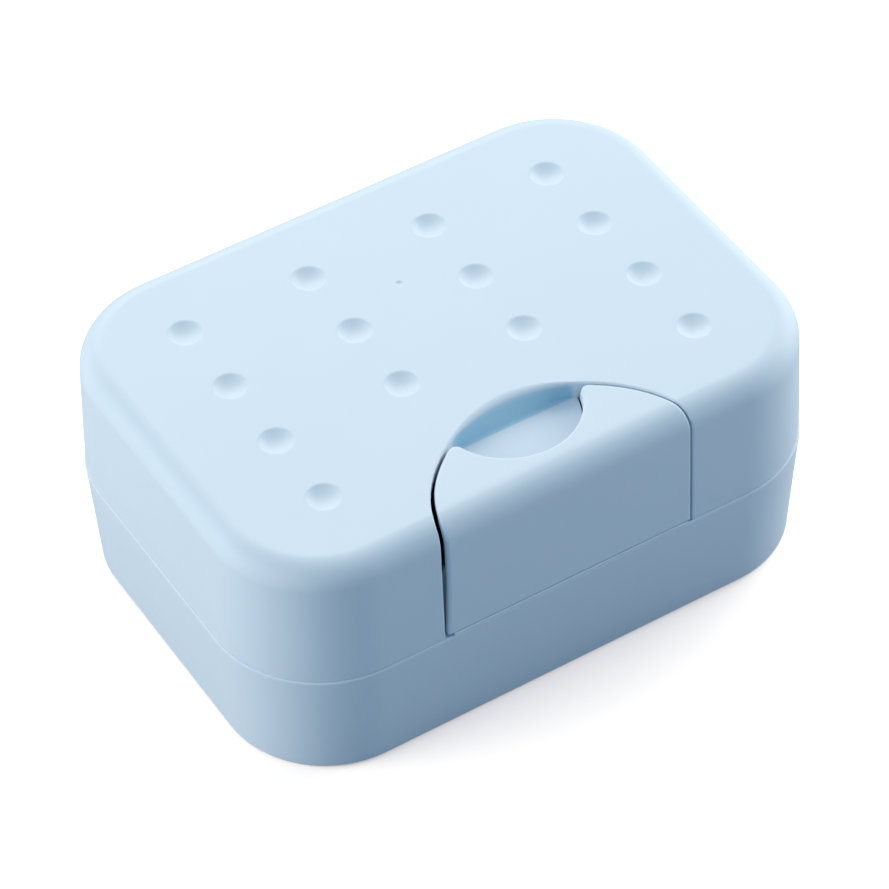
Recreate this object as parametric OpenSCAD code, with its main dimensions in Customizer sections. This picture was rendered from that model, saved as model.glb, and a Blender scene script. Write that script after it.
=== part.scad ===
// Travel soap box: base tray, hinged lid, front clasp and a lift-out drain rack.
// The origin is the middle of the base's flat underside. X runs along the box,
// the clasp faces -Y, and Z is up. Every length is in millimetres.

/* [Box] */
// Length over the lid's rim
box_l = 110; // [98:1:130]
// Width over the lid's rim, front to back
box_w = 79; // [72:1:95]
// Height with the lid closed
box_h = 47; // [42:0.5:56]
// Height of the base's rim, where the two shells meet
base_h = 22.4; // [19:0.1:26]
// Corner radius of the box, seen from above
corner_r = 20; // [17:0.5:24]
// Wall of both shells
wall = 2; // [1.7:0.1:2.4]
// How far the lid's sides lean in between its rim and its face
lid_lean = 0.8; // [0.5:0.1:1.4]
// How far the base's sides lean in between its rim and its underside
base_lean = 1.1; // [0.5:0.1:1.6]
// Open height of the seam between lid and base
seam = 0.15; // [0.1:0.05:0.3]

/* [Lid] */
// Round of the lid's top edge
lid_edge_r = 4.4; // [3.6:0.1:6]
// Height of the band round the lid's rim
band_h = 4.5; // [3:0.5:6]
// How far that band stands out from the side
band_out = 0.25; // [0.2:0.05:0.6]

/* [Dimples] */
// Width of one dimple at the lid's face
dimple_d = 5.8; // [4:0.1:7]
// Depth of one dimple
dimple_depth = 0.8; // [0.4:0.1:1.2]
// Distance between dimples along the box
dimple_pitch_l = 23.5; // [18:0.1:25]
// Distance between dimples across the box
dimple_pitch_w = 14.7; // [10:0.1:15]
// Dimples along the box
dimple_cols = 4; // [2:2:4]
// Dimples across the box
dimple_rows = 4; // [2:2:4]

/* [Clasp] */
// Width of the clasp on the front face
clasp_w = 47; // [40:0.5:52]
// How far the clasp's arch reaches back over the lid
clasp_rise = 20.1; // [18:0.1:22]
// Thickness of the clasp's skin
clasp_t = 1.5; // [1.2:0.1:1.8]
// Clearance all round the clasp in the lid's notch
clasp_gap = 0.4; // [0.3:0.05:0.6]
// Sideways play of the clasp, taken up towards +X
clasp_shift = 0.2; // [0:0.05:0.25]
// Radius of the finger scoop in the clasp's edge
scoop_r = 12.2; // [10:0.1:14]
// How far the scoop's centre lies ahead of the arch's crown
scoop_ahead = 1.2; // [0:0.1:2]
// Squareness of the arch's outline, where 2 is an ellipse
arch_power = 1.8; // [1.6:0.05:2.2]
// Round of the two horns beside the scoop
horn_r = 1.3; // [0.8:0.1:1.8]
// Thickness of the pull rim that hangs from the scoop's edge
pull_rim_t = 1.1; // [0.8:0.1:1.4]
// Height of the thin film that joins the clasp to the base
film_h = 0.6; // [0.5:0.05:0.8]
// Radius of the bead that the film bends round
film_r = 0.25; // [0.2:0.05:0.25]

/* [Finger pocket] */
// Depth of the pocket's floor below the lid's face
pocket_depth = 3.4; // [2.6:0.1:4]
// Slope of the pocket's back wall in degrees
pocket_slope = 52; // [45:1:65]
// Thickness of the pocket's floor and back wall
pocket_t = 1.6; // [1.2:0.1:2]
// Clearance between the pocket's lip and the clasp's scoop
lip_gap = 0.35; // [0.3:0.05:0.5]

/* [Rim] */
// Height of the tongue that stands inside the lid
tongue_h = 2.6; // [1.8:0.1:3.5]
// Thickness of that tongue
tongue_t = 1.4; // [1.2:0.1:1.8]
// Clearance between the tongue and the lid's wall
tongue_gap = 0.3; // [0.25:0.05:0.5]
// Height of the splash shield behind the clasp, above the base's rim
shield_h = 15.5; // [11:0.5:16]
// Clearance at each side of the shield in the lid's notch
shield_gap = 1; // [0.8:0.1:2]

/* [Hinge] */
// Length of the rear hinge
hinge_l = 60; // [48:1:66]
// Number of knuckles, the outer two of them on the base
knuckles = 5; // [3:2:7]
// Outer radius of a knuckle
knuckle_r = 2.1; // [1.9:0.1:2.6]
// Clearance between the lid's band and the knuckles behind it
hinge_gap = 0.25; // [0.2:0.05:0.5]
// Clearance between neighbouring knuckles
knuckle_gap = 0.4; // [0.2:0.1:0.6]
// Diameter of the hinge pin
pin_d = 2; // [1.6:0.1:2.2]
// Radial clearance of the pin in its knuckles
pin_fit = 0.05; // [0.02:0.01:0.1]

/* [Base] */
// Round of the base's bottom edge
base_edge_r = 1.2; // [0.8:0.1:1.8]
// Round inside the base where its wall meets the floor
floor_r = 3; // [2:0.2:4]

/* [Drain rack] */
// Thickness of the rack's plate
rack_t = 1.8; // [1.4:0.1:2.4]
// Height of the rack's feet
foot_h = 5; // [4.5:0.5:7]
// Diameter of a foot
foot_d = 6; // [4:0.5:8]
// Clearance between the rack and the tongue that it lifts past
rack_gap = 1.1; // [0.6:0.05:1.6]
// Width of one drain slot
slot_w = 4; // [3:0.5:5]
// Distance between drain slots
slot_pitch = 8; // [7:0.5:10]
// Width of the solid border and spine between the slots
rack_border = 7; // [6:0.5:9]
// Height of the ridges that keep the soap off the plate
ridge_h = 1.2; // [0.8:0.1:2]
// Width of one ridge
ridge_w = 1.4; // [1:0.1:2]
// Radius of the finger notch at each end of the rack
notch_r = 9; // [7:0.5:11]

/* [Hidden] */
$fn = 96;
pale_blue = [0.82, 0.89, 0.95];
clasp_blue = [0.78, 0.87, 0.94];
rack_white = [0.93, 0.95, 0.96];
steel = [0.75, 0.77, 0.79];
// Half the straight stretch of the long and the short sides
flat_x = box_l / 2 - corner_r;
flat_y = box_w / 2 - corner_r;
// Distances out from a corner's centre: side face, its inner face, the tongue
side_x = corner_r - band_out;
inner_x = side_x - wall;
tongue_out = inner_x - tongue_gap;
tongue_in = tongue_out - tongue_t;
// Lowest edge of the lid
lid_z = base_h + seam;
// Front of the lid and the notch that the clasp fills
front_y = -box_w / 2;
notch_a = clasp_w / 2 + clasp_gap;
notch_b = clasp_rise + clasp_gap;
crown_y = front_y + notch_b;
// Scoop in the clasp, and the pocket's lip behind it
scoop_y = crown_y - scoop_ahead;
lip_r = scoop_r - lip_gap;
pocket_z = box_h - pocket_depth;
crease_y = crown_y - pocket_depth / tan(pocket_slope);
// Hinge axes
hinge_y = box_w / 2 + hinge_gap + knuckle_r;
hinge_z = base_h + seam / 2;
pitch = hinge_l / knuckles;
// The clasp bends on the film's bead, at the base's outer face
side_y = -(flat_y + side_x);
bend_z = base_h + film_h / 2;
clasp_z = base_h + film_h + 0.05;
// Drain rack
rack_x = tongue_in - rack_gap;
rack_z = wall + foot_h;
// Small overlap that lets two shapes of one piece fuse
fuse = 0.6;

// Half section of a shell. X runs outwards from a corner's centre and Y is height.
// The side starts x_rim out at z_rim and leans in to z_far, where its edge is round.
module half_section(x_rim, z_rim, z_far, edge_r, lean) {
    up = sign(z_far - z_rim);
    angle = atan(lean / abs(z_far - z_rim));
    arc_z = z_far - up * edge_r;
    arc_x = x_rim - abs(arc_z - z_rim) * tan(angle) - edge_r / cos(angle);
    polygon([[0, z_rim], [x_rim, z_rim],
             [arc_x + edge_r * cos(angle), arc_z + up * edge_r * sin(angle)],
             [arc_x, z_far], [0, z_far]]);
    translate([arc_x, arc_z]) circle(r = edge_r);
}

// Carries a half section round the rounded rectangle of the box.
// The middle is filled between the heights z_lo and z_hi.
module around_box(z_lo, z_hi) {
    for (k = [0 : 3]) {
        sx = (k == 0 || k == 3) ? 1 : -1;
        sy = k < 2 ? 1 : -1;
        translate([sx * flat_x, sy * flat_y, 0])
            rotate(90 * k) rotate_extrude(angle = 90) children();
    }
    for (side = [-1, 1]) {
        translate([side * flat_x, 0, 0]) rotate(side < 0 ? 180 : 0)
            rotate([90, 0, 0]) linear_extrude(2 * flat_y, center = true) children();
        translate([0, side * flat_y, 0]) rotate(side * 90)
            rotate([90, 0, 0]) linear_extrude(2 * flat_x, center = true) children();
    }
    if (z_hi > z_lo)
        translate([-flat_x, -flat_y, z_lo]) cube([2 * flat_x, 2 * flat_y, z_hi - z_lo]);
}

// Extrudes a drawing in the Y-Z plane along X, centred on x_mid
module along_x(length, x_mid = 0) {
    translate([x_mid - length / 2, 0, 0])
        rotate([90, 0, 90]) linear_extrude(length) children();
}

// Plan of the clasp's arch: half a rounded arch that stands on the front face
module arch(a, b, ahead = 6) {
    power = 2 / arch_power;
    polygon(concat([[-a, front_y - ahead], [a, front_y - ahead]],
                   [for (t = [0 : 5 : 180])
                        [sign(cos(t)) * a * pow(abs(cos(t)), power),
                         front_y + b * pow(sin(t), power)]]));
}

// One hinge knuckle with its web. side is 1 on the lid, above the axis, and -1 on the base.
module knuckle(index, side) {
    x_mid = (index - (knuckles - 1) / 2) * pitch;
    root_y = flat_y + side_x - fuse;
    along_x(pitch - knuckle_gap, x_mid) {
        translate([hinge_y, hinge_z]) circle(r = knuckle_r);
        polygon([[root_y, hinge_z + side * 0.2], [hinge_y, hinge_z + side * 0.2],
                 [hinge_y, hinge_z + side * knuckle_r],
                 [root_y, hinge_z + side * 2 * knuckle_r]]);
    }
}

// Bore for the hinge pin, through every knuckle
module pin_bore() {
    translate([0, hinge_y, hinge_z]) rotate([0, 90, 0])
        cylinder(r = pin_d / 2 + pin_fit, h = hinge_l + 2, center = true);
}

// Tongue and the ledge that carries it, drawn as part of the half section
module tongue_section() {
    ledge = inner_x - tongue_in;
    polygon([[tongue_in, base_h + tongue_h], [tongue_out, base_h + tongue_h],
             [tongue_out, base_h], [side_x - wall / 2, base_h],
             [side_x - wall / 2, base_h - 2 * ledge], [inner_x, base_h - 2 * ledge],
             [tongue_in, base_h - ledge]]);
}

// Raised stretch of the tongue behind the clasp, which keeps water in
module splash_shield() {
    half = notch_a - shield_gap;
    y_out = -(flat_y + tongue_out);
    y_in = -(flat_y + tongue_in);
    slope = lid_lean / (box_h - base_h);
    intersection() {
        along_x(2 * half)
            polygon([[y_out, base_h], [y_in, base_h], [y_in, base_h + shield_h],
                     [y_out + slope * shield_h, base_h + shield_h]]);
        // Rounded top corners, cut as a plain window seen from the front
        translate([0, y_in + 1, 0]) rotate([90, 0, 0]) linear_extrude(tongue_t + 2) {
            translate([-half, base_h]) square([2 * half, shield_h - half / 4]);
            translate([-half + half / 4, base_h]) square([1.5 * half, shield_h]);
            for (side = [-1, 1])
                translate([side * half * 3 / 4, base_h + shield_h - half / 4])
                    circle(r = half / 4);
        }
    }
}

// Film at the base's outer face, with the bead on which the clasp bends
module film_strip() {
    along_x(clasp_w - 2, clasp_shift) {
        translate([side_y, bend_z]) circle(r = film_r);
        translate([side_y, base_h - fuse]) square([film_r, film_h / 2 + fuse]);
    }
}

module base_tray() {
    color(pale_blue) difference() {
        union() {
            around_box(0, wall) {
                union() {
                    difference() {
                        half_section(side_x, base_h, 0, base_edge_r, base_lean);
                        difference() {
                            half_section(inner_x, base_h, wall, floor_r, base_lean);
                            square([inner_x * 2, wall * 2], center = true);
                        }
                        translate([0, base_h - 0.01]) square([inner_x, 1]);
                    }
                    tongue_section();
                }
            }
            splash_shield();
            film_strip();
            for (k = [0 : 2 : knuckles - 1]) knuckle(k, -1);
        }
        pin_bore();
    }
}

// The lid's side, top edge and rim band, hollowed by the wall
module lid_section() {
    difference() {
        union() {
            half_section(side_x, lid_z, box_h, lid_edge_r, lid_lean);
            polygon([[0, lid_z], [corner_r, lid_z], [corner_r, lid_z + band_h * 0.6],
                     [side_x - lid_lean * band_h / (box_h - lid_z), lid_z + band_h],
                     [0, lid_z + band_h]]);
        }
        half_section(inner_x, lid_z - 1, box_h - wall, lid_edge_r - wall, lid_lean);
    }
}

// Ball cuts in the lid's face. The two in the middle of the front row are left out.
module dimples() {
    ball_r = (pow(dimple_d / 2, 2) + pow(dimple_depth, 2)) / (2 * dimple_depth);
    for (col = [0 : dimple_cols - 1], row = [0 : dimple_rows - 1]) {
        x = (col - (dimple_cols - 1) / 2) * dimple_pitch_l;
        y = (row - (dimple_rows - 1) / 2) * dimple_pitch_w;
        under_clasp = abs(x) < notch_a && y < crown_y + dimple_d;
        if (!under_clasp)
            translate([x, y, box_h - dimple_depth + ball_r]) sphere(r = ball_r);
    }
}

// Floor and back wall of the finger pocket, before the pocket is cut
module pocket_block() {
    back = pocket_t / sin(pocket_slope);
    low = pocket_z - pocket_t;
    high = box_h - wall / 2;
    intersection() {
        along_x(4 * scoop_r)
            polygon([[front_y, low], [front_y, high], [crown_y + 2 * pocket_t, high],
                     [crown_y + 2 * pocket_t, box_h - wall],
                     [crease_y + back + (pocket_depth - wall) / tan(pocket_slope), box_h - wall],
                     [crease_y + back - pocket_t / tan(pocket_slope), low]]);
        translate([0, 0, low - 1]) linear_extrude(box_h - low)
            arch(notch_a + pocket_t, notch_b + pocket_t);
        translate([clasp_shift, scoop_y, low - 1]) cylinder(r = lip_r, h = box_h - low);
    }
}

// Everything that is cut away above the pocket's floor, inside the arch
module pocket_room() {
    intersection() {
        along_x(4 * scoop_r)
            polygon([[front_y, pocket_z], [crease_y, pocket_z], [crown_y, box_h],
                     [crown_y, box_h + 1], [front_y, box_h + 1]]);
        translate([0, 0, pocket_z - 1]) linear_extrude(pocket_depth + 3)
            arch(notch_a, notch_b);
    }
}

module lid_cover() {
    color(pale_blue) difference() {
        union() {
            difference() {
                around_box(box_h - wall, box_h) lid_section();
                translate([0, 0, base_h - 1]) linear_extrude(box_h - base_h + 2)
                    arch(notch_a, notch_b);
            }
            pocket_block();
            for (k = [1 : 2 : knuckles - 2]) knuckle(k, 1);
        }
        pocket_room();
        dimples();
        pin_bore();
    }
}

// Plan of the clasp: its arch less the finger scoop, with round horns
module clasp_plan() {
    translate([clasp_shift, 0])
        offset(r = horn_r) offset(delta = -horn_r) difference() {
            arch(clasp_w / 2, clasp_rise);
            translate([0, scoop_y]) circle(r = scoop_r);
        }
}

// Rim that hangs from the scoop's edge down to just above the pocket's floor
module pull_rim() {
    low = pocket_z + lip_gap;
    translate([clasp_shift, scoop_y, low]) difference() {
        cylinder(r = scoop_r + pull_rim_t, h = box_h - clasp_t / 2 - low);
        translate([0, 0, -1]) cylinder(r = scoop_r - 0.01, h = box_h);
    }
}

module front_clasp() {
    reach = clasp_rise;
    color(clasp_blue) intersection() {
        union() {
            // The skin follows the lid's own side and top edge
            along_x(clasp_w + 4, clasp_shift) mirror([1, 0]) translate([flat_y, 0]) {
                difference() {
                    half_section(side_x, lid_z, box_h, lid_edge_r, lid_lean);
                    half_section(side_x - clasp_t, lid_z - 1, box_h - clasp_t,
                                 lid_edge_r - clasp_t, lid_lean);
                }
                translate([-reach, box_h - clasp_t]) square([reach + 1, clasp_t]);
            }
            pull_rim();
        }
        translate([0, 0, clasp_z]) linear_extrude(box_h) clasp_plan();
    }
}

// Plan of the drain rack, which follows the box's corners
module rack_plan() {
    for (sx = [-1, 1], sy = [-1, 1])
        translate([sx * flat_x, sy * flat_y]) circle(r = rack_x);
    square([2 * (flat_x + rack_x), 2 * flat_y], center = true);
    square([2 * flat_x, 2 * (flat_y + rack_x)], center = true);
}

// One row of drain slots with round ends, on the side of the spine given by side
module slot_row(side) {
    half_l = flat_x + rack_x - rack_border;
    count = floor((2 * half_l - 2 * notch_r) / slot_pitch);
    length = flat_y + rack_x - rack_border - rack_border / 2 - slot_w;
    y_near = side * (rack_border + slot_w) / 2;
    for (k = [0 : count - 1]) {
        x = (k - (count - 1) / 2) * slot_pitch;
        translate([x, y_near]) circle(d = slot_w);
        translate([x, y_near + side * length]) circle(d = slot_w);
        translate([x - slot_w / 2, min(y_near, y_near + side * length)])
            square([slot_w, length]);
    }
}

module drain_rack() {
    end_x = flat_x + rack_x;
    ridge_l = 2 * (flat_x - notch_r / 2);
    color(rack_white) union() {
        translate([0, 0, rack_z]) linear_extrude(rack_t) difference() {
            rack_plan();
            slot_row(-1);
            slot_row(1);
            for (side = [-1, 1])
                translate([side * (end_x + notch_r / 3), 0]) circle(r = notch_r);
        }
        // Ridges along the solid border and the spine
        for (y = [-1, 0, 1])
            translate([-ridge_l / 2, y * (flat_y + rack_x - rack_border / 2) - ridge_w / 2,
                       rack_z + rack_t - 0.2])
                cube([ridge_l, ridge_w, ridge_h + 0.2]);
        for (sx = [-1, 1], sy = [-1, 1])
            translate([sx * flat_x, sy * flat_y, wall])
                cylinder(d = foot_d, h = foot_h + rack_t / 2);
    }
}

module lid_hinge_pin() {
    color(steel) translate([0, hinge_y, hinge_z]) rotate([0, 90, 0])
        cylinder(d = pin_d, h = hinge_l - 2 * knuckle_gap, center = true);
}

base_tray();
lid_cover();
front_clasp();
drain_rack();
lid_hinge_pin();
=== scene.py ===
import math

import bmesh
import bpy
from mathutils import Matrix, Vector


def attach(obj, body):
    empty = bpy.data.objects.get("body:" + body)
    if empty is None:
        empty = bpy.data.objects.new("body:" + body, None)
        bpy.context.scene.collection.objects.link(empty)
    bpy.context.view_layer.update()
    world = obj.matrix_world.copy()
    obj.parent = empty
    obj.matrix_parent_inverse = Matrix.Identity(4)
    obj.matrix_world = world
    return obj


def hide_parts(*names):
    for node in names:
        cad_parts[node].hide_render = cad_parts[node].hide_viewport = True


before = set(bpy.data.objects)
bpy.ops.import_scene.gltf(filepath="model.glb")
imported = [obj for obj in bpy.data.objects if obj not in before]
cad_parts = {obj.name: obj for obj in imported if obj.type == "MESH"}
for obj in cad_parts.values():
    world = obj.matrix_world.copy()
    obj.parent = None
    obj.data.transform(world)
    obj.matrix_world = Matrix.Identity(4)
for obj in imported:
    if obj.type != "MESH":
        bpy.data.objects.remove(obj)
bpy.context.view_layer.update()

# Sizes in millimetres, as in the part's source. Each piece is scaled to metres at its end.
BOX_L, BOX_W, BOX_H = 110.0, 79.0, 47.0
BASE_H, CORNER_R, WALL, SEAM = 22.4, 20.0, 2.0, 0.15
LID_LEAN, BASE_LEAN, LID_EDGE_R = 0.8, 1.1, 4.4
BAND_H, BAND_OUT = 4.5, 0.25
CLASP_W, CLASP_RISE, CLASP_T, CLASP_GAP, CLASP_SHIFT = 47.0, 20.1, 1.5, 0.4, 0.2
SCOOP_R, SCOOP_AHEAD, HORN_R, ARCH_POWER, PULL_RIM_T = 12.2, 1.2, 1.3, 1.8, 1.1
FILM_H, FILM_R = 0.6, 0.25
POCKET_DEPTH, POCKET_SLOPE, POCKET_T, LIP_GAP = 3.4, 52.0, 1.6, 0.35
TONGUE_H, TONGUE_T, TONGUE_GAP = 2.6, 1.4, 0.3
SHIELD_H, SHIELD_GAP = 15.5, 1.0
HINGE_L, KNUCKLES, KNUCKLE_R, HINGE_GAP, KNUCKLE_GAP = 60.0, 5, 2.1, 0.25, 0.4
PIN_D, PIN_FIT = 2.0, 0.05
BASE_EDGE_R, FLOOR_R = 1.2, 3.0
RACK_T, FOOT_H, FOOT_D, RACK_GAP = 1.8, 5.0, 6.0, 1.1
SLOT_W, SLOT_PITCH, RACK_BORDER = 4.0, 8.0, 7.0
RIDGE_H, RIDGE_W, NOTCH_R = 1.2, 1.4, 9.0
DIMPLE_D, DIMPLE_DEPTH, DIMPLE_PITCH = 5.8, 0.8, (23.5, 14.7)
# The small mark left where the plastic was let in: x, y, and its size as a share of a dimple's
GATE_MARK = (0.2, 12.8, 0.24)

SHOW = 0.3  # how far the base's rim shows below the lid's lower edge

FLAT_X, FLAT_Y = BOX_L / 2 - CORNER_R, BOX_W / 2 - CORNER_R
SIDE = CORNER_R - BAND_OUT
INNER = SIDE - WALL
TONGUE_OUT = INNER - TONGUE_GAP
TONGUE_IN = TONGUE_OUT - TONGUE_T
LID_Z = BASE_H + SEAM
FRONT_Y = -BOX_W / 2
NOTCH_A, NOTCH_B = CLASP_W / 2 + CLASP_GAP, CLASP_RISE + CLASP_GAP
CROWN_Y = FRONT_Y + NOTCH_B
SCOOP_Y = CROWN_Y - SCOOP_AHEAD
POCKET_Z = BOX_H - POCKET_DEPTH
CREASE_Y = CROWN_Y - POCKET_DEPTH / math.tan(math.radians(POCKET_SLOPE))
HINGE_Y = BOX_W / 2 + HINGE_GAP + KNUCKLE_R
HINGE_Z = BASE_H + SEAM / 2
RACK_R = TONGUE_IN - RACK_GAP
RACK_Z = WALL + FOOT_H


# ---- Helpers for shapes ----

def arc(cx, cz, r, start, end, steps):
    """Points on an arc, angles in degrees."""
    angles = [math.radians(start + (end - start) * i / steps) for i in range(steps + 1)]
    return [(cx + r * math.cos(a), cz + r * math.sin(a)) for a in angles]


def lean_arc(r_rim, z_rim, z_far, edge_r, lean, steps):
    """The round edge that ends a leaning side, from the side to the far face."""
    up = 1 if z_far > z_rim else -1
    tilt = math.atan(lean / abs(z_far - z_rim))
    cz = z_far - up * edge_r
    cx = r_rim - abs(cz - z_rim) * math.tan(tilt) - edge_r / math.cos(tilt)
    return arc(cx, cz, edge_r, up * math.degrees(tilt), up * 90, steps)


def set_ring(verts, r, z):
    """Moves a ring of the rounded rectangle to corner radius r and height z."""
    for v in verts:
        c = Vector((math.copysign(FLAT_X, v.co.x), math.copysign(FLAT_Y, v.co.y)))
        d = (v.co.xy - c).normalized()
        v.co = (c.x + d.x * r, c.y + d.y * r, z)


def carry_round(profile, corner_steps=20):
    """Carries a profile of (corner radius, height) round the box, with both ends filled."""
    bm = bmesh.new()
    bmesh.ops.create_grid(bm, x_segments=1, y_segments=1, size=1,
                          matrix=Matrix.Diagonal((FLAT_X + 20, FLAT_Y + 20, 1, 1)))
    bmesh.ops.bevel(bm, geom=bm.verts[:], offset=20, segments=corner_steps, profile=0.5,
                    affect="VERTICES", material=-1)
    bmesh.ops.delete(bm, geom=bm.faces[:], context="FACES_ONLY")
    ring = bm.edges[:]
    set_ring(bm.verts, *profile[0])
    bmesh.ops.edgeloop_fill(bm, edges=ring)
    for r, z in profile[1:]:
        made = bmesh.ops.extrude_edge_only(bm, edges=ring)["geom"]
        ring = [g for g in made if isinstance(g, bmesh.types.BMEdge)]
        set_ring([g for g in made if isinstance(g, bmesh.types.BMVert)], r, z)
    bmesh.ops.edgeloop_fill(bm, edges=ring)
    bmesh.ops.recalc_face_normals(bm, faces=bm.faces[:])
    return bm


def outline(points):
    """A flat face in the X-Y plane through the points, in a mesh of its own."""
    bm = bmesh.new()
    bm.faces.new([bm.verts.new((x, y, 0)) for x, y in points])
    return bm


def raise_faces(bm, z_lo, z_hi):
    """Makes a solid between two heights from flat faces."""
    bmesh.ops.translate(bm, verts=bm.verts[:], vec=(0, 0, z_lo))
    made = bmesh.ops.extrude_face_region(bm, geom=bm.faces[:], use_keep_orig=True)["geom"]
    bmesh.ops.translate(bm, verts=[g for g in made if isinstance(g, bmesh.types.BMVert)],
                        vec=(0, 0, z_hi - z_lo))
    bmesh.ops.recalc_face_normals(bm, faces=bm.faces[:])
    return bm


def upright(points, x_mid, length):
    """A solid along X from a drawing of (y, z) points."""
    bm = raise_faces(outline(points), -length / 2, length / 2)
    turn = Matrix(((0, 0, 1, x_mid), (1, 0, 0, 0), (0, 1, 0, 0), (0, 0, 0, 1)))
    bmesh.ops.transform(bm, matrix=turn, verts=bm.verts[:])
    bmesh.ops.recalc_face_normals(bm, faces=bm.faces[:])
    return bm


def to_object(bm, name):
    mesh = bpy.data.meshes.new(name)
    bm.to_mesh(mesh)
    bm.free()
    obj = bpy.data.objects.new(name, mesh)
    bpy.context.scene.collection.objects.link(obj)
    return obj


def combine(bm, tools):
    """Applies exact booleans. tools is a list of (operation, mesh)."""
    body = to_object(bm, "work")
    cutters = []
    for operation, tool in tools:
        cutter = to_object(tool, "cutter")
        cutters.append(cutter)
        mod = body.modifiers.new("cut", "BOOLEAN")
        mod.operation, mod.solver, mod.object = operation, "EXACT", cutter
    depsgraph = bpy.context.evaluated_depsgraph_get()
    mesh = bpy.data.meshes.new_from_object(body.evaluated_get(depsgraph))
    out = bmesh.new()
    out.from_mesh(mesh)
    for obj in cutters + [body]:
        bpy.data.objects.remove(obj, do_unlink=True)
    bpy.data.meshes.remove(mesh)
    bmesh.ops.remove_doubles(out, verts=out.verts[:], dist=0.002)
    return out


def finished(bm, name, body, node=None, smooth=40):
    """Scales a mesh in mm to metres, smooths its shading and lets it ride on its body."""
    bmesh.ops.scale(bm, vec=(0.001, 0.001, 0.001), verts=bm.verts[:])
    for face in bm.faces:
        face.smooth = True
    for edge in bm.edges:
        edge.smooth = (len(edge.link_faces) == 2
                       and edge.calc_face_angle(0) < math.radians(smooth))
    obj = to_object(bm, name)
    weighted = obj.modifiers.new("even_shading", "WEIGHTED_NORMAL")
    weighted.keep_sharp = True
    weighted.weight = 100
    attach(obj, body)
    if node:
        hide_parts(node)
    return obj


def arch_points(a, b, ahead=6.0, steps=72):
    """Plan of the clasp's arch: a superellipse that stands on the front face."""
    pts = [(-a, FRONT_Y - ahead), (a, FRONT_Y - ahead)]
    for i in range(steps + 1):
        t = math.pi * i / steps
        c, s = math.cos(t), max(math.sin(t), 0.0)
        pts.append((math.copysign(a * abs(c) ** (2 / ARCH_POWER), c),
                    FRONT_Y + b * s ** (2 / ARCH_POWER)))
    return pts


# ---- Lid ----

def lid_profile():
    outer = lean_arc(SIDE, LID_Z, BOX_H, LID_EDGE_R, LID_LEAN, 12)[::-1]
    slope = LID_LEAN / (BOX_H - LID_Z)
    edge = CORNER_R - SHOW
    band = []
    for i in range(1, 9):
        t = i / 8
        flare = (3 - 2 * t) * t * t * (edge - SIDE)
        z = LID_Z + 2 * BAND_H * (1 - t) + BAND_H * 0.3 * t
        band.append((SIDE - slope * (z - LID_Z) * (1 - t) + flare, z))
    rim = arc(edge - 0.12, LID_Z + 0.12, 0.12, 0, -90, 3) + [
        (INNER + 0.2, LID_Z), (INNER + 0.06, LID_Z + 0.06), (INNER, LID_Z + 0.2)]
    inner = lean_arc(INNER, LID_Z, BOX_H - WALL, LID_EDGE_R - WALL, LID_LEAN, 8)
    return outer + band + rim + inner


def dimple_cutters(spots):
    """Ball-ended cutters whose mouths flare softly into the lid's face."""
    ball = (DIMPLE_D ** 2 / 4 + DIMPLE_DEPTH ** 2) / (2 * DIMPLE_DEPTH)
    lip = 0.9
    # Cap up to where the lip's arc takes over, then the lip, level at the face
    reach = math.degrees(math.acos((ball - DIMPLE_DEPTH + lip) / (ball + lip)))
    cap = arc(0, BOX_H - DIMPLE_DEPTH + ball, ball, -90, -90 + reach, 8)
    out = (ball + lip) * math.sin(math.radians(reach))
    mouth = arc(out, BOX_H - lip, lip, 90 + reach, 95, 5)[1:]
    bm = bmesh.new()
    top = [(mouth[-1][0], BOX_H + 1), (0, BOX_H + 1)]
    verts = [bm.verts.new((r, 0, z)) for r, z in cap + mouth + top]
    edges = [bm.edges.new(pair) for pair in zip(verts, verts[1:])]
    bmesh.ops.spin(bm, geom=verts + edges, cent=(0, 0, 0), axis=(0, 0, 1),
                   angle=math.tau, steps=32, use_merge=True)
    bmesh.ops.remove_doubles(bm, verts=bm.verts[:], dist=0.001)
    first = bm.verts[:] + bm.edges[:] + bm.faces[:]
    for x, y, size in spots:
        made = bmesh.ops.duplicate(bm, geom=first)["geom"]
        verts = [g for g in made if isinstance(g, bmesh.types.BMVert)]
        bmesh.ops.scale(bm, vec=(size, size, size), verts=verts,
                        space=Matrix.Translation((0, 0, -BOX_H)))
        bmesh.ops.translate(bm, vec=(x, y, 0), verts=verts)
    bmesh.ops.delete(bm, geom=[g for g in first if isinstance(g, bmesh.types.BMVert)])
    bmesh.ops.recalc_face_normals(bm, faces=bm.faces[:])
    return bm


def dimple_spots():
    for col in range(4):
        for row in range(4):
            x = (col - 1.5) * DIMPLE_PITCH[0]
            y = (row - 1.5) * DIMPLE_PITCH[1]
            if not (abs(x) < NOTCH_A and y < CROWN_Y + DIMPLE_D):
                yield x, y, 1.0


def scoop_round(r, low, high):
    bm = bmesh.new()
    middle = Matrix.Translation((CLASP_SHIFT, SCOOP_Y, (low + high) / 2))
    bmesh.ops.create_cone(bm, cap_ends=True, segments=96, radius1=r, radius2=r,
                          depth=high - low, matrix=middle)
    return bm


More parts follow.
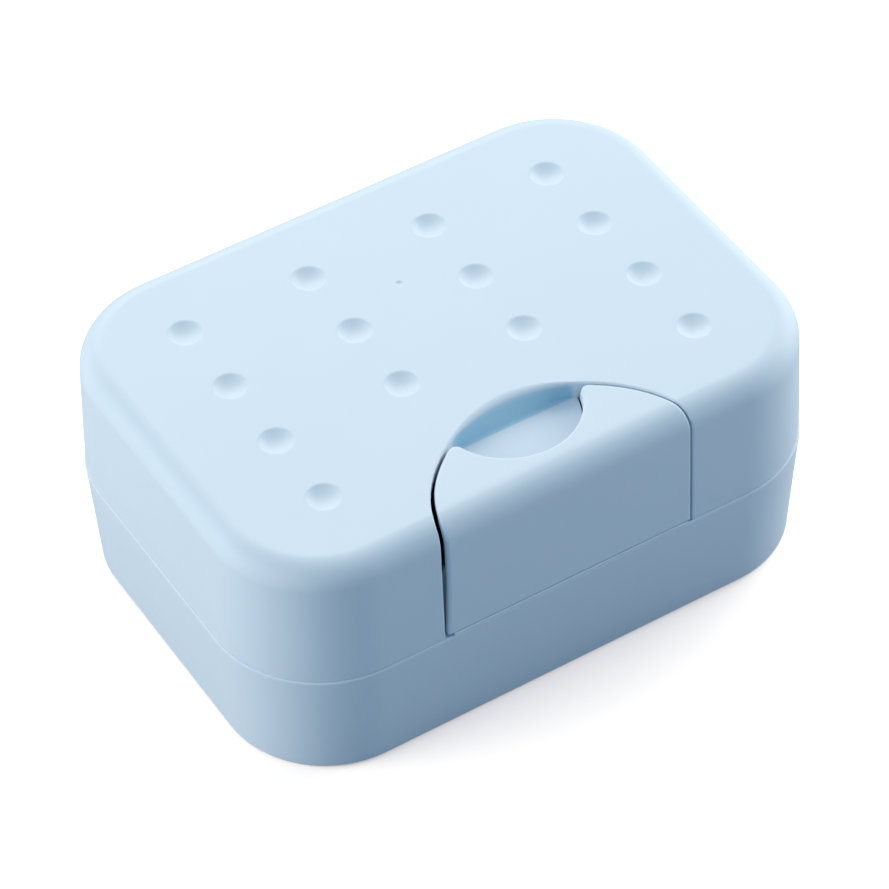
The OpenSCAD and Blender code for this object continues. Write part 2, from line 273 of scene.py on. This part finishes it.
def pocket_block():
    """The block under the lid that the finger pocket is cut into."""
    back = POCKET_T / math.sin(math.radians(POCKET_SLOPE))
    run = 1 / math.tan(math.radians(POCKET_SLOPE))
    low, high = POCKET_Z - POCKET_T, BOX_H - WALL / 2
    body = upright([(FRONT_Y, low), (FRONT_Y, high), (CROWN_Y + 2 * POCKET_T, high),
                    (CROWN_Y + 2 * POCKET_T, BOX_H - WALL),
                    (CREASE_Y + back + (POCKET_DEPTH - WALL) * run, BOX_H - WALL),
                    (CREASE_Y + back - POCKET_T * run, low)], 0, 4 * SCOOP_R)
    arch = raise_faces(outline(arch_points(NOTCH_A + POCKET_T, NOTCH_B + POCKET_T)),
                       low - 1, BOX_H + 1)
    return combine(body, [("INTERSECT", arch),
                          ("INTERSECT", scoop_round(SCOOP_R + 0.8, low - 2, BOX_H + 2))])


def pocket_hollow():
    """The hollow of the pocket: its back runs from the arch down to a straight crease."""
    bm = outline(arch_points(NOTCH_A, NOTCH_B))
    raise_faces(bm, POCKET_Z, BOX_H)
    for v in bm.verts:
        if v.co.z < BOX_H - 1:
            v.co.y = min(v.co.y, CREASE_Y)
    top = [f for f in bm.faces if f.calc_center_median().z > BOX_H - 0.01]
    made = bmesh.ops.extrude_face_region(bm, geom=top)["geom"]
    bmesh.ops.translate(bm, vec=(0, 0, 2),
                        verts=[g for g in made if isinstance(g, bmesh.types.BMVert)])
    bmesh.ops.delete(bm, geom=top, context="FACES_ONLY")
    bmesh.ops.recalc_face_normals(bm, faces=bm.faces[:])
    return bm


def on_notch(co, a=NOTCH_A, b=NOTCH_B, slack=0.03):
    """True for a point on the upright wall of the notch."""
    t = max(co.y - FRONT_Y, 0) / b
    if t >= 1:
        return abs(co.x) < a and t < 1 + slack / b
    x = a * (1 - t ** ARCH_POWER) ** (1 / ARCH_POWER)
    y = b * max(1 - (min(abs(co.x), a) / a) ** ARCH_POWER, 0) ** (1 / ARCH_POWER)
    return abs(abs(co.x) - x) < slack or abs(co.y - FRONT_Y - y) < slack


def notch_cutter():
    """Cuts the notch right through, and inside the clasp's scoop only the finger pocket."""
    kept = combine(scoop_round(SCOOP_R - 0.1, POCKET_Z - POCKET_T - 1, BOX_H + 10),
                   [("DIFFERENCE", pocket_hollow())])
    notch = raise_faces(outline(arch_points(NOTCH_A, NOTCH_B)), BASE_H - 1, BOX_H + 1)
    return combine(notch, [("DIFFERENCE", kept)])


def make_lid():
    """The lid with its two rear knuckles, its edges still sharp."""
    shell = combine(carry_round(lid_profile()), [("DIFFERENCE", dimple_cutters([GATE_MARK]))])
    shell = combine(shell, knuckle_parts(1, range(1, KNUCKLES - 1, 2)))
    return combine(shell, [("DIFFERENCE", dimple_cutters(dimple_spots())),
                           ("UNION", pocket_block()),
                           ("DIFFERENCE", notch_cutter())])


def bevelled(bm, widths, segments=4):
    """Rounds edges. widths gives each edge's round in mm, or 0 to leave it sharp."""
    largest = max(widths.values())
    by_index = {edge.index: width for edge, width in widths.items()}
    layer = bm.edges.layers.float.new("bevel_weight_edge")
    bm.edges.ensure_lookup_table()
    for index, width in by_index.items():
        bm.edges[index][layer] = width / largest
    work = to_object(bm, "work")
    mod = work.modifiers.new("round", "BEVEL")
    mod.limit_method, mod.width, mod.segments = "WEIGHT", largest, segments
    mod.use_clamp_overlap = False
    mod.miter_outer = "MITER_ARC"
    depsgraph = bpy.context.evaluated_depsgraph_get()
    mesh = bpy.data.meshes.new_from_object(work.evaluated_get(depsgraph))
    out = bmesh.new()
    out.from_mesh(mesh)
    bpy.data.objects.remove(work, do_unlink=True)
    bpy.data.meshes.remove(mesh)
    return out


def sharp_edges(bm, angle=35):
    bm.edges.index_update()
    return [e for e in bm.edges
            if len(e.link_faces) == 2 and e.calc_face_angle(0) > math.radians(angle)]


def along_x(r, z_y, lengths):
    """Round bars along X at (y, z), with softened ends. lengths is a list of (x_mid, length)."""
    bm = bmesh.new()
    for x_mid, length in lengths:
        turn = Matrix.Translation((x_mid, z_y[0], z_y[1])) @ Matrix.Rotation(math.pi / 2, 4, "Y")
        bmesh.ops.create_cone(bm, cap_ends=True, segments=48, radius1=r, radius2=r,
                              depth=length, matrix=turn)
    caps = [e for e in bm.edges if len({round(v.co.x, 4) for v in e.verts}) == 1]
    bmesh.ops.bevel(bm, geom=caps, offset=min(0.2, r / 4), segments=3, profile=0.5,
                    affect="EDGES", material=-1)
    return bm


def knuckle_parts(side, which):
    """Bars and webs of the hinge knuckles. side is 1 on the lid and -1 on the base."""
    pitch = HINGE_L / KNUCKLES
    spots = [((k - (KNUCKLES - 1) / 2) * pitch, pitch - KNUCKLE_GAP) for k in which]
    bars = along_x(KNUCKLE_R - 0.005, (HINGE_Y, HINGE_Z), spots)
    root = FLAT_Y + SIDE - 0.6
    webs = bmesh.new()
    for x_mid, length in spots:
        web = upright([(root, HINGE_Z + side * 0.2), (HINGE_Y, HINGE_Z + side * 0.2),
                       (HINGE_Y, HINGE_Z + side * KNUCKLE_R),
                       (HINGE_Y - 1.1, HINGE_Z + side * (KNUCKLE_R + 0.35)),
                       (HINGE_Y - 1.9, HINGE_Z + side * (KNUCKLE_R + 1.1)),
                       (root, HINGE_Z + side * 2 * KNUCKLE_R)], x_mid, length - 0.1)
        part = bpy.data.meshes.new("part")
        web.to_mesh(part)
        web.free()
        webs.from_mesh(part)
        bpy.data.meshes.remove(part)
    bore = along_x(PIN_D / 2 + PIN_FIT, (HINGE_Y, HINGE_Z), [(0, HINGE_L + 2)])
    return [("UNION", webs), ("UNION", bars), ("DIFFERENCE", bore)]


def round_lid_edges(bm):
    """Softens the edge of the notch, and rolls the lid's face into the finger pocket."""
    widths = {}
    for edge in sharp_edges(bm, 28):
        mid = (edge.verts[0].co + edge.verts[1].co) / 2
        outside = (mid.z > BOX_H - 0.02
                   or mid.y < -(FLAT_Y + SIDE - 1.3) and mid.z > BASE_H + 0.4
                   or mid.y < -(FLAT_Y + SIDE - LID_EDGE_R) and mid.z > BOX_H - 1.2)
        if outside and all(on_notch(v.co) for v in edge.verts):
            near = max(0.0, 1 - (abs(mid.x - CLASP_SHIFT) / 12.5) ** 2)
            widths[edge] = 0.3 + 0.7 * near if mid.z > BOX_H - 0.02 else 0.3
        elif (abs(mid.z - POCKET_Z) < 0.02 and abs(mid.y - CREASE_Y) < 0.02
              and edge.calc_length() > 0.05):
            widths[edge] = 0.35
    return bevelled(bm, widths)


# ---- Clasp ----

FILLET_Y = -(FLAT_Y + lean_arc(SIDE, LID_Z, BOX_H, LID_EDGE_R, LID_LEAN, 1)[-1][0])
FILLET_TURN = math.pi / 2 - math.atan(LID_LEAN / (BOX_H - LID_Z))
FILLET_S = LID_EDGE_R * FILLET_TURN
FILLET_END = FILLET_Y - LID_EDGE_R * math.sin(FILLET_TURN)
CLASP_Z = BASE_H + FILM_H


def bend(s, t):
    """(y, z) of a point of the clasp: s runs from the face's edge down the front, t outwards."""
    turn = min(max(s, 0) / LID_EDGE_R, FILLET_TURN)
    y = FILLET_Y - LID_EDGE_R * math.sin(turn)
    z = BOX_H - LID_EDGE_R + LID_EDGE_R * math.cos(turn)
    rest = s if s < 0 else max(s - FILLET_S, 0)
    return (y - rest * math.cos(turn) - t * math.sin(turn),
            z - rest * math.sin(turn) + t * math.cos(turn))


def arch_x(y, a=CLASP_W / 2, b=CLASP_RISE):
    return a * max(1 - (max(y - FRONT_Y, 0) / b) ** ARCH_POWER, 0) ** (1 / ARCH_POWER)


def bow(s, bottom):
    """The clasp's left edge is drawn in a little, so its slot is widest at half height."""
    t = (bottom - s) / (bottom + 4)
    return 0.55 * math.sin(math.pi * min(t, 1)) if t > 0 else 0.0


def clasp_outline():
    """Outline of the unrolled clasp in (x, s), the right half first."""
    bottom = FILLET_S + (BOX_H - LID_EDGE_R + LID_EDGE_R * math.cos(FILLET_TURN)
                         - CLASP_Z) / math.sin(FILLET_TURN)
    right = []
    for i in range(7):
        s = bottom + (FILLET_S - bottom) * i / 6
        right.append((arch_x(bend(s, 0)[0]), s))
    for i in range(1, 9):
        s = FILLET_S * (1 - i / 8)
        right.append((arch_x(bend(s, 0)[0]), s))

    def arch_at(y):
        return Vector((arch_x(y), y))

    def horn_centre(y):
        step = arch_at(y + 0.01) - arch_at(y - 0.01)
        return arch_at(y) + Vector((-step.y, step.x)).normalized() * HORN_R

    scoop = Vector((0, SCOOP_Y))
    lo, hi = FILLET_Y, FRONT_Y + CLASP_RISE - 0.5
    for _ in range(40):
        mid = (lo + hi) / 2
        if (horn_centre(mid) - scoop).length > SCOOP_R + HORN_R:
            lo = mid
        else:
            hi = mid
    horn = horn_centre(lo)
    for i in range(1, 25):
        y = FILLET_Y + (lo - FILLET_Y) * i / 24
        right.append((arch_x(y), FILLET_Y - y))
    start = (arch_at(lo) - horn)
    a0 = math.atan2(start.y, start.x)
    a1 = math.atan2(scoop.y - horn.y, scoop.x - horn.x) % math.tau
    for i in range(1, 13):
        a = a0 + (a1 - a0) * i / 12
        right.append((horn.x + HORN_R * math.cos(a), FILLET_Y - horn.y - HORN_R * math.sin(a)))
    b0 = math.atan2(horn.y - scoop.y, horn.x - scoop.x)
    for i in range(1, 25):
        a = b0 + (-math.pi / 2 - b0) * i / 24
        right.append((scoop.x + SCOOP_R * math.cos(a), FILLET_Y - scoop.y - SCOOP_R * math.sin(a)))
    left = [(-x + bow(s, bottom), s) for x, s in reversed(right[:-1])]
    return right + left, scoop, b0


def make_clasp():
    points, scoop, b0 = clasp_outline()
    bm = raise_faces(outline(points), -CLASP_T, 0)
    lowest = max(s for _, s in points)
    widths = {}
    for edge in sharp_edges(bm, 60):
        if abs(edge.verts[0].co.z - edge.verts[1].co.z) > 0.1:
            widths[edge] = 0.2
            continue
        mid = (edge.verts[0].co + edge.verts[1].co) / 2
        hem = mid.y > lowest - 0.01
        side = abs(mid.x) > 15 and mid.y > -12
        if mid.z < -0.1:
            widths[edge] = 0.6 if side and not hem else 0.2
        else:
            widths[edge] = 0.1 if hem else 0.6
    bm = bevelled(bm, widths, 5)
    bmesh.ops.remove_doubles(bm, verts=bm.verts[:], dist=0.002)
    stations = [FILLET_S * i / 12 for i in range(13)] + [-0.6, FILLET_S + 0.8]
    for s in stations:
        bmesh.ops.bisect_plane(bm, geom=bm.verts[:] + bm.edges[:] + bm.faces[:],
                               plane_co=(0, s, 0), plane_no=(0, 1, 0))
    for v in bm.verts:
        y, z = bend(v.co.y, v.co.z)
        v.co = (v.co.x + CLASP_SHIFT, y, z)
    bmesh.ops.recalc_face_normals(bm, faces=bm.faces[:])
    # Pull rim that hangs from the scoop's edge down to the pocket's floor
    rim = bmesh.new()
    low = POCKET_Z + LIP_GAP
    near, far = SCOOP_R + 0.015, SCOOP_R + PULL_RIM_T
    section = ([(near, BOX_H - 1.0)] + arc(near + 0.25, low + 0.25, 0.25, 180, 270, 4)
               + arc(far - 0.25, low + 0.25, 0.25, 270, 360, 4) + [(far, BOX_H - 1.0)])
    begin, end = b0 + 0.05, -math.pi - b0 - 0.05
    verts = [rim.verts.new((r, 0, z)) for r, z in section]
    face = rim.faces.new(verts)
    bmesh.ops.rotate(rim, verts=rim.verts[:], cent=(0, 0, 0),
                     matrix=Matrix.Rotation(begin, 3, "Z"))
    bmesh.ops.spin(rim, geom=[face], cent=(0, 0, 0), axis=(0, 0, 1), angle=end - begin,
                   steps=53)
    bmesh.ops.translate(rim, verts=rim.verts[:], vec=(scoop.x + CLASP_SHIFT, scoop.y, 0))
    bmesh.ops.recalc_face_normals(rim, faces=rim.faces[:])
    # Three-sided faces keep the boolean from closing the scoop's hollow outline
    bmesh.ops.triangulate(bm, faces=[f for f in bm.faces if len(f.verts) > 4])
    return combine(bm, [("UNION", rim)])


# ---- Base ----

def base_profile():
    floor = lean_arc(INNER, BASE_H, WALL, FLOOR_R, BASE_LEAN, 8)[::-1]
    ledge = INNER - TONGUE_IN
    lean = BASE_LEAN / (BASE_H - WALL)
    drop = 2 * ledge / (1 + lean)
    top = BASE_H + TONGUE_H
    tongue = ([(INNER - drop * lean, BASE_H - drop), (TONGUE_IN, BASE_H - ledge)]
              + arc(TONGUE_IN + 0.35, top - 0.35, 0.35, 180, 90, 4)
              + arc(TONGUE_OUT - 0.45, top - 0.45, 0.45, 90, 0, 4)
              + [(TONGUE_OUT, BASE_H), (INNER + 0.3, BASE_H + SEAM - 0.03)])
    rim = arc(CORNER_R - 0.4 - 0.05, BASE_H + SEAM - 0.43, 0.4, 90, 0, 6)
    bottom = lean_arc(SIDE, BASE_H, 0, BASE_EDGE_R, BASE_LEAN, 6)
    ease = [(CORNER_R - 0.06, BASE_H - 1.0), (SIDE + 0.08, BASE_H - 2.2)]
    return floor + tongue + rim + ease + bottom[1:]


def shield():
    """Splash shield behind the clasp, a raised stretch of the tongue."""
    half, corner = NOTCH_A - SHIELD_GAP, (NOTCH_A - SHIELD_GAP) / 4
    top = BASE_H + SHIELD_H
    points = ([(-half, BASE_H + 1), (half, BASE_H + 1)]
              + arc(half - corner, top - corner, corner, 0, 90, 12)
              + arc(corner - half, top - corner, corner, 90, 180, 12))
    bm = raise_faces(outline(points), 0, TONGUE_T)
    bmesh.ops.bevel(bm, geom=[e for e in sharp_edges(bm, 60)
                              if min(v.co.y for v in e.verts) > BASE_H + 1.1
                              and abs(e.verts[0].co.z - e.verts[1].co.z) < 0.1],
                    offset=0.35, segments=4, profile=0.5, affect="EDGES", material=-1)
    stand = Matrix(((1, 0, 0, 0), (0, 0, -1, -(FLAT_Y + TONGUE_IN)), (0, 1, 0, 0), (0, 0, 0, 1)))
    bmesh.ops.transform(bm, matrix=stand, verts=bm.verts[:])
    slope = LID_LEAN / (BOX_H - BASE_H)
    for v in bm.verts:
        if v.co.y < -(FLAT_Y + TONGUE_IN + TONGUE_T / 2):
            v.co.y += slope * (v.co.z - BASE_H)
    bmesh.ops.recalc_face_normals(bm, faces=bm.faces[:])
    return bm


def make_base():
    bead = along_x(FILM_R, (-(FLAT_Y + SIDE), BASE_H + FILM_H / 2), [(CLASP_SHIFT, CLASP_W - 2)])
    web = upright([(-(FLAT_Y + SIDE), BASE_H - 0.4), (-(FLAT_Y + SIDE) + FILM_R, BASE_H - 0.4),
                   (-(FLAT_Y + SIDE) + FILM_R, BASE_H + FILM_H / 2),
                   (-(FLAT_Y + SIDE), BASE_H + FILM_H / 2)], CLASP_SHIFT, CLASP_W - 2.2)
    return combine(carry_round(base_profile()),
                   [("UNION", shield()), ("UNION", web), ("UNION", bead)]
                   + knuckle_parts(-1, range(0, KNUCKLES, 2)))


# ---- Drain rack and pin ----

def add_to(bm, other):
    """Adds another mesh's shapes to bm."""
    part = bpy.data.meshes.new("part")
    other.to_mesh(part)
    other.free()
    bm.from_mesh(part)
    bpy.data.meshes.remove(part)


def stadium(x, y_near, y_far, width, steps=10):
    r = width / 2
    return (arc(x, max(y_near, y_far), r, 0, 180, steps)
            + arc(x, min(y_near, y_far), r, 180, 360, steps))


def rack_slots():
    cuts = bmesh.new()
    half = FLAT_X + RACK_R - RACK_BORDER
    count = int((2 * half - 2 * NOTCH_R) // SLOT_PITCH)
    length = FLAT_Y + RACK_R - RACK_BORDER - RACK_BORDER / 2 - SLOT_W
    near = (RACK_BORDER + SLOT_W) / 2
    for side in (-1, 1):
        for k in range(count):
            x = (k - (count - 1) / 2) * SLOT_PITCH
            add_to(cuts, raise_faces(outline(stadium(x, side * near, side * (near + length),
                                                     SLOT_W)), RACK_Z - 1, RACK_Z + 4))
        bmesh.ops.create_cone(cuts, cap_ends=True, segments=96, radius1=NOTCH_R, radius2=NOTCH_R,
                              depth=8, matrix=Matrix.Translation(
                                  (side * (FLAT_X + RACK_R + NOTCH_R / 3), 0, RACK_Z)))
    return cuts


def make_rack():
    soft, top = 0.3, RACK_Z + RACK_T
    plate = carry_round([(RACK_R - soft, RACK_Z), (RACK_R - 0.09, RACK_Z + 0.09),
                         (RACK_R, RACK_Z + soft), (RACK_R, top - soft),
                         (RACK_R - 0.09, top - 0.09), (RACK_R - soft, top)])
    plate = combine(plate, [("DIFFERENCE", rack_slots())])
    cut = [e for e in sharp_edges(plate, 60)
           if abs(e.verts[0].co.z - e.verts[1].co.z) < 0.01]
    plate = bevelled(plate, {e: 0.3 for e in cut}, 3)
    ridges, feet = bmesh.new(), bmesh.new()
    length = 2 * (FLAT_X - NOTCH_R / 2)
    for y in (-1, 0, 1):
        y_mid = y * (FLAT_Y + RACK_R - RACK_BORDER / 2)
        crest = top + RIDGE_H
        bar = upright([(y_mid - RIDGE_W / 2, top - 0.2), (y_mid + RIDGE_W / 2, top - 0.2)]
                      + arc(y_mid, crest - RIDGE_W / 2, RIDGE_W / 2, 0, 180, 10), 0, length)
        add_to(ridges, bar)
    for sx in (-1, 1):
        for sy in (-1, 1):
            bmesh.ops.create_cone(feet, cap_ends=True, segments=40, radius1=FOOT_D / 2,
                                  radius2=FOOT_D / 2, depth=FOOT_H + RACK_T / 2,
                                  matrix=Matrix.Translation((sx * FLAT_X, sy * FLAT_Y, WALL
                                                             + (FOOT_H + RACK_T / 2) / 2)))
    low = [e for e in feet.edges if max(v.co.z for v in e.verts) < WALL + 0.01]
    bmesh.ops.bevel(feet, geom=low, offset=0.5, segments=4, profile=0.5, affect="EDGES",
                    material=-1)
    ends = [e for e in sharp_edges(ridges, 60)
            if abs(abs(e.verts[0].co.x) - length / 2) < 0.01
            and abs(abs(e.verts[1].co.x) - length / 2) < 0.01
            and min(v.co.z for v in e.verts) > top]
    bmesh.ops.bevel(ridges, geom=ends, offset=0.3, segments=3, profile=0.5, affect="EDGES",
                    material=-1)
    return combine(plate, [("UNION", ridges), ("UNION", feet)])


def make_pin():
    return along_x(PIN_D / 2, (HINGE_Y, HINGE_Z), [(0, HINGE_L - 2 * KNUCKLE_GAP)])


lid = finished(round_lid_edges(make_lid()), "lid_shell", "lid", "lid_cover")
clasp = finished(make_clasp(), "clasp_tab", "clasp", "front_clasp")
base = finished(make_base(), "base_shell", "base", "base_tray")
rack = finished(make_rack(), "slotted_rack", "rack", "drain_rack")
pin = finished(make_pin(), "hinge_wire", "base", "lid_hinge_pin")


# ---- Finishes ----

class Value:
    """A shader value: expressions on it add Math nodes."""

    def __init__(self, finish, socket):
        self.finish, self.socket = finish, socket

    def math(self, operation, first, second):
        made = self.finish.node("Math", {"operation": operation}, {0: first, 1: second})
        return Value(self.finish, made.outputs[0])

    def __add__(self, other):
        return self.math("ADD", self, other)

    def __sub__(self, other):
        return self.math("SUBTRACT", self, other)

    def __rsub__(self, other):
        return self.math("SUBTRACT", other, self)

    def __mul__(self, other):
        return self.math("MULTIPLY", self, other)

    __radd__, __rmul__ = __add__, __mul__

    def limited(self):
        return self.math("MINIMUM", self.math("MAXIMUM", self, 0.0), 1.0)


class Finish:
    """A material whose nodes come from one method."""

    def __init__(self, name):
        self.material = bpy.data.materials.new(name)
        self.material.use_nodes = True
        self.tree = self.material.node_tree
        self.tree.nodes.clear()
        self.place = self.node("TexCoord").outputs["Object"]

    def node(self, kind, settings=None, sockets=None):
        made = self.tree.nodes.new("ShaderNode" + kind)
        for key, value in (settings or {}).items():
            if key == "stops":
                ramp = made.color_ramp
                while len(ramp.elements) < len(value):
                    ramp.elements.new(0.5)
                for element, (spot, colour) in zip(ramp.elements, value):
                    element.position, element.color = spot, (*colour, 1)
            else:
                setattr(made, key, value)
        for key, value in (sockets or {}).items():
            value = value.socket if isinstance(value, Value) else value
            if isinstance(value, bpy.types.NodeSocket):
                self.tree.links.new(value, made.inputs[key])
            elif isinstance(value, tuple) and made.inputs[key].type == "RGBA":
                made.inputs[key].default_value = (*value[:3], 1)
            else:
                made.inputs[key].default_value = value
        return made

    def place_along(self, axis):
        parts = self.node("SeparateXYZ", {}, {0: self.place})
        return Value(self, parts.outputs[axis])

    def noise(self, scale, detail=3, roughness=0.55, place=None):
        made = self.node("TexNoise", {}, {"Vector": place or self.place, "Scale": scale,
                                          "Detail": detail, "Roughness": roughness})
        return Value(self, made.outputs["Fac"])

    def blend(self, factor, a, b):
        made = self.node("Mix", {"data_type": "RGBA"}, {"Factor": factor, 6: a, 7: b})
        return made.outputs[2]

    def surface(self, shader):
        self.node("OutputMaterial", {}, {"Surface": shader.outputs[0]})
        return self.material


def moulded_plastic(name, colour, deeper, roughness=0.36, grain=0.000012, painted_recess_shade=None):
    """Satin moulded plastic: a faint flow in its colour, a fine grain and handled patches.

    The colour given for the finger pocket's back wall is painted shade: a darker, bluer tone in
    place of the pocket's shading.
    """
    m = Finish(name)
    flow = m.noise(26, 2)
    patches = m.noise(95, 4)
    grain_map = m.noise(5200, 2)
    ripple = m.noise(420, 2)
    bump = m.node("Bump", {}, {"Strength": 0.5, "Distance": grain,
                               "Height": grain_map + ripple * 0.8})
    tone = m.blend(flow * 0.8 - 0.1, colour, deeper)
    if painted_recess_shade:
        # Painted shade: a mask over the finger pocket's back wall, where a darker, bluer colour
        # stands in for its shading
        x, y, z = (m.place_along(axis) for axis in "XYZ")
        inside = ((0.0135 - x.math("ABSOLUTE", x, 0.0)) * 900).limited()
        inside = inside * ((y + 0.0224) * 3000).limited() * ((-0.0190 - y) * 3000).limited()
        inside = inside * ((0.0469 - z) * 900).limited() * ((z - 0.0400) * 900).limited()
        tone = m.blend(inside, tone, painted_recess_shade)
    shader = m.node("BsdfPrincipled", {}, {
        "Base Color": tone,
        "Roughness": patches * 0.1 + (roughness - 0.05),
        "IOR": 1.49, "Specular IOR Level": 0.4, "Normal": bump.outputs[0]})
    return m.surface(shader)


def drawn_wire():
    """Drawn steel wire: fine lines along its length."""
    m = Finish("drawn_steel_wire")
    stretched = m.node("Mapping", {}, {"Vector": m.place, "Scale": (30, 4200, 4200)}).outputs[0]
    lines = m.noise(1, 3, place=stretched)
    bump = m.node("Bump", {}, {"Strength": 0.4, "Distance": 0.000008, "Height": lines})
    shader = m.node("BsdfPrincipled", {}, {
        "Base Color": m.blend(lines, (0.62, 0.63, 0.65), (0.50, 0.51, 0.53)), "Metallic": 1.0,
        "Roughness": lines * 0.16 + 0.2, "Normal": bump.outputs[0]})
    return m.surface(shader)


# The shell's pocket colour is painted shade on the finger pocket's back wall
shell_blue = moulded_plastic("pale_blue_shell", (0.575, 0.695, 0.82), (0.55, 0.675, 0.81),
                             painted_recess_shade=(0.33, 0.57, 0.74))
clasp_blue = moulded_plastic("pale_blue_clasp", (0.575, 0.695, 0.82), (0.555, 0.68, 0.81), 0.34)
rack_white = moulded_plastic("milky_rack", (0.80, 0.86, 0.90), (0.76, 0.83, 0.88), 0.42)
for obj, material in ((lid, shell_blue), (base, shell_blue), (clasp, clasp_blue),
                      (rack, rack_white), (pin, drawn_wire())):
    obj.data.materials.clear()
    obj.data.materials.append(material)


# ---- Stage, light and camera ----

floor_mesh = bmesh.new()
bmesh.ops.create_grid(floor_mesh, x_segments=1, y_segments=1, size=4)
floor = to_object(floor_mesh, "studio_floor")
paper = Finish("white_sweep")
rays = paper.node("LightPath")
plain = paper.node("BsdfDiffuse", {}, {"Color": (0.38, 0.44, 0.51)})
seen = paper.node("BsdfDiffuse", {}, {"Color": (1.0, 1.0, 1.0)})
lift = paper.node("Emission", {}, {"Color": (1.0, 0.80, 0.69), "Strength": 0.38})
both = paper.node("AddShader", {}, {0: seen.outputs[0], 1: lift.outputs[0]})
floor.data.materials.append(paper.surface(paper.node(
    "MixShader", {}, {0: rays.outputs["Is Camera Ray"], 1: plain.outputs[0],
                      2: both.outputs[0]})))

world = bpy.data.worlds.new("studio")
bpy.context.scene.world = world
world.use_nodes = True
tree = world.node_tree
tree.nodes.clear()
path = tree.nodes.new("ShaderNodeLightPath")
seen = path.outputs["Is Camera Ray"]
for ray in ("Is Glossy Ray", "Is Transmission Ray"):
    either = tree.nodes.new("ShaderNodeMath")
    either.operation = "MAXIMUM"
    tree.links.new(seen, either.inputs[0])
    tree.links.new(path.outputs[ray], either.inputs[1])
    seen = either.outputs[0]
fill = tree.nodes.new("ShaderNodeBackground")
fill.inputs["Color"].default_value = (0.52, 0.77, 0.97, 1)
fill.inputs["Strength"].default_value = 0.48
white = tree.nodes.new("ShaderNodeBackground")
white.inputs["Color"].default_value = (1, 1, 1, 1)
white.inputs["Strength"].default_value = 1.0
choose = tree.nodes.new("ShaderNodeMixShader")
tree.links.new(seen, choose.inputs[0])
tree.links.new(fill.outputs[0], choose.inputs[1])
tree.links.new(white.outputs[0], choose.inputs[2])
out = tree.nodes.new("ShaderNodeOutputWorld")
tree.links.new(choose.outputs[0], out.inputs["Surface"])


def softbox(name, spot, aim, size, watts, colour, sheen=False):
    lamp = bpy.data.lights.new(name, "AREA")
    lamp.shape, lamp.size, lamp.energy, lamp.color = "DISK", size, watts, colour
    obj = bpy.data.objects.new(name, lamp)
    obj.location = spot
    obj.rotation_euler = (Vector(aim) - Vector(spot)).to_track_quat("-Z", "Y").to_euler()
    obj.visible_glossy = sheen
    bpy.context.scene.collection.objects.link(obj)


warm = (1.0, 0.9, 0.77)
middle = (0, 0, 0.02)
softbox("left_softbox", (-1.1, 0.35, 0.45), (0, 0, 0.03), 0.85, 13.6, warm)
softbox("right_softbox", (1.0, 0.3, 0.5), middle, 0.9, 10.0, warm)
softbox("low_right_softbox", (1.1, -0.2, 0.38), middle, 0.75, 6.4, warm)
softbox("back_softbox", (0.3, 1.2, 0.9), middle, 1.2, 6.4, warm, sheen=True)

lens = bpy.data.cameras.new("view")
lens.lens, lens.sensor_width, lens.sensor_height = 4201 / 889 * 36, 36, 36
camera = bpy.data.objects.new("view", lens)
azimuth, height, roll = math.radians(-30.94), math.radians(45.81), math.radians(-1.585)
back = Vector((math.sin(azimuth) * math.cos(height), -math.cos(azimuth) * math.cos(height),
               math.sin(height)))
right = Vector((math.cos(azimuth), math.sin(azimuth), 0))
up = back.cross(right)
turned = (right * math.cos(roll) + up * math.sin(roll),
          up * math.cos(roll) - right * math.sin(roll), back)
place = Matrix(turned).transposed().to_4x4()
place.translation = Vector((-0.2527, -0.4222, 0.5261))
camera.matrix_world = place
bpy.context.scene.collection.objects.link(camera)
bpy.context.scene.camera = camera
bpy.context.scene.view_settings.view_transform = "Standard"
